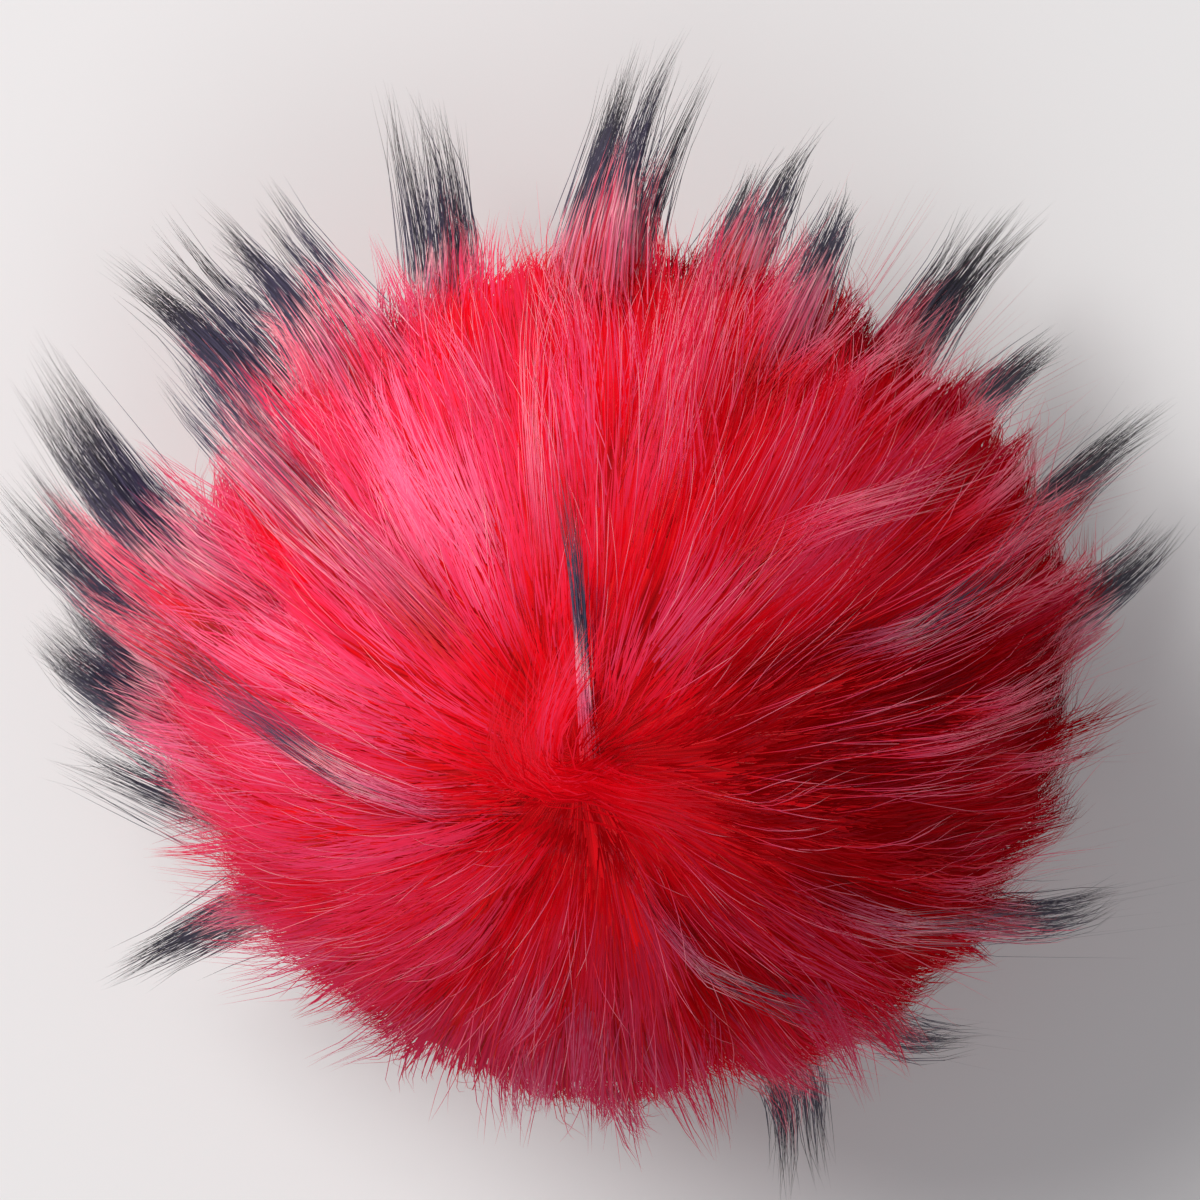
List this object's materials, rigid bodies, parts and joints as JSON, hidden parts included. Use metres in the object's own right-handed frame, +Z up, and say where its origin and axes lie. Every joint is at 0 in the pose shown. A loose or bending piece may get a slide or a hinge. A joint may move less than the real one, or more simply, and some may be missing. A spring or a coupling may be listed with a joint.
{
  "type": "pom pom",
  "caption": "Round fluffy ball of dyed long-haired fur with dark-tipped guard hair, for trimming hats, bags and key rings.",
  "frame": {"origin": "middle of the small flat spot that the ball rests on, on the surface itself", "axes": "+Z up, away from the surface; +Y from the hair's parting towards the far side of the ball, where it leans; +X to the right of that"},
  "size_m": [0.1601, 0.1572, 0.1015],
  "materials": {
    "dyed_fur": "long dense hair, coral red, pale pink then slate at the longest tips"
  },
  "bodies": {
    "root": {"fur_ball": "dyed_fur"}
  },
  "joints": []
}
